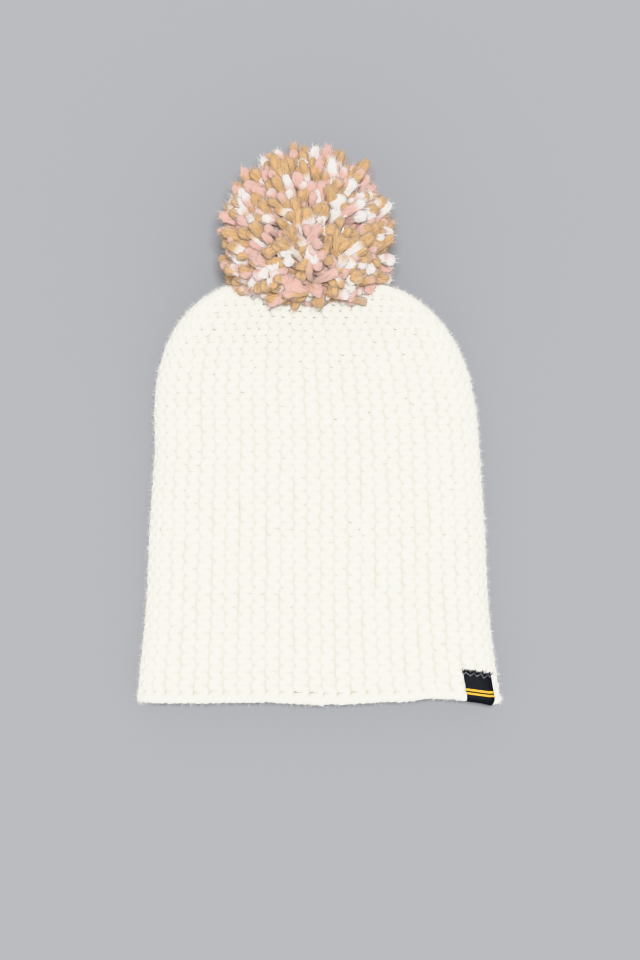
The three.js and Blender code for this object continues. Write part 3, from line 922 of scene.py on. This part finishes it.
def black_weave(length):
    """Damask-woven polyester: blue-black with a dull shine, fine ribs, and two thin yellow stripes."""
    material, tree, shader = new_material("black_damask_weave", roughness=0.7, specular=0.3)
    place = add(tree, "UVMap", uv_map="cut")
    down = add(tree, "SeparateXYZ", place).outputs["Y"]

    # Single threads are too fine to show, so the ribs are drawn 1 mm apart
    rib_spacing = 1.0 * MM
    rib_unevenness = 1.5 * MM
    ribs = add(tree, "Math", down, 2 * math.pi / rib_spacing, operation="MULTIPLY")
    ribs = add(tree, "Math", ribs, operation="SINE")
    uneven = add(tree, "TexNoise", place, named={"Scale": 1 / rib_unevenness, "Detail": 2.0})
    weave = add(tree, "Math", ribs, uneven, operation="MULTIPLY")
    bump = add(tree, "Bump", named={"Strength": 0.6, "Distance": 0.2 * MM, "Height": weave})
    tree.links.new(result(bump), shader.inputs["Normal"])

    stripes = None
    for middle in STRIPE_PLACES:
        away = add(tree, "Math", down, middle * length, operation="SUBTRACT")
        away = add(tree, "Math", away, operation="ABSOLUTE")
        stripe = add(tree, "Math", away, STRIPE_HALF_WIDTH, operation="LESS_THAN")
        stripes = add(tree, "Math", stripes, stripe, operation="ADD") if stripes else stripe
    colour = add(tree, "Mix", stripes, linear("#17181C"), linear("#F0C020"), data_type="RGBA")
    shade = add(tree, "MapRange", weave, -0.5, 0.5, 0.75, 1.2)
    colour = add(tree, "VectorMath", colour, shade, operation="SCALE")
    tree.links.new(result(colour), shader.inputs["Base Color"])
    return material


def spun_thread(name, colour):
    """Spun polyester thread: dull, and uneven in shade where its plies turn."""
    material, tree, shader = new_material(name, roughness=0.8)
    ply_turn = 0.8 * MM
    place = add(tree, "TexCoord").outputs["Object"]
    plies = add(tree, "TexNoise", place, named={"Scale": 1 / ply_turn, "Detail": 1.0})
    shade = add(tree, "MapRange", plies, 0.3, 0.7, 0.7, 1.3)
    shaded = add(tree, "VectorMath", linear(colour)[:3], shade, operation="SCALE")
    tree.links.new(result(shaded), shader.inputs["Base Color"])
    return material


def label():
    """The label: a woven strip folded over the hem, sewn down along its upper edge."""
    mesh, flat, sewn_edge = label_sheet()
    mesh.materials.append(black_weave(flat[1]))
    strip = bpy.data.objects.new("hem_label", mesh)
    bpy.context.scene.collection.objects.link(strip)
    solid = strip.modifiers.new("thickness", "SOLIDIFY")
    solid.thickness = LABEL_THICKNESS
    solid.offset = -1.0
    plain_mesh(strip, "hem_label")

    path = bpy.data.meshes.new("sewn_edge")
    path.from_pydata(sewn_edge, [(i, i + 1) for i in range(len(sewn_edge) - 1)], [])
    fray = grow("label_fray", path.copy(), fray_tree(spun_thread("black_cut_thread", "#1D1E22")))
    thread = grow("label_stitching", path, stitch_tree(spun_thread("grey_sewing_thread", "#7C7D80")))
    for piece in (strip, fray, thread):
        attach(piece, "root")
        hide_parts("label")


# The studio

def studio():
    """A pale floor, soft light from all round with a broad lamp above, and a camera looking straight down."""
    scene = bpy.context.scene
    scene.view_settings.view_transform = "Khronos PBR Neutral"
    corners = [(x * FLOOR_REACH, y * FLOOR_REACH, 0) for x, y in ((-1, -1), (1, -1), (1, 1), (-1, 1))]
    floor_mesh = bpy.data.meshes.new("floor")
    floor_mesh.from_pydata(corners, [], [(0, 1, 2, 3)])
    floor = bpy.data.objects.new("floor", floor_mesh)
    scene.collection.objects.link(floor)

    # Matt paper gives an even ground without any shine
    paper, _, shader = new_material("matt_grey_paper", roughness=1.0)
    shader.inputs["Base Color"].default_value = linear("#838487")
    floor_mesh.materials.append(paper)

    world = bpy.data.worlds.new("soft_room")
    world.use_nodes = True
    world.node_tree.nodes["Background"].inputs["Color"].default_value = (1, 1, 1, 1)
    world.node_tree.nodes["Background"].inputs["Strength"].default_value = ROOM_LIGHT
    scene.world = world

    lamp = bpy.data.lights.new("broad_softbox", "SUN")
    lamp.energy = LAMP_STRENGTH
    lamp.angle = LAMP_SPREAD
    lamp_object = bpy.data.objects.new("broad_softbox", lamp)
    lamp_object.rotation_euler = LAMP_WAY.to_track_quat("-Z", "Y").to_euler()
    scene.collection.objects.link(lamp_object)

    camera = bpy.data.cameras.new("camera")
    camera.sensor_width = SENSOR
    camera.lens = SENSOR * CAMERA_DISTANCE / (FRAME_HEIGHT * PIXEL)
    camera_object = bpy.data.objects.new("camera", camera)
    camera_object.location = CAMERA_AIM + Vector((0, 0, CAMERA_DISTANCE))
    scene.collection.objects.link(camera_object)
    scene.camera = camera_object


bobble()
knit()
label()
studio()
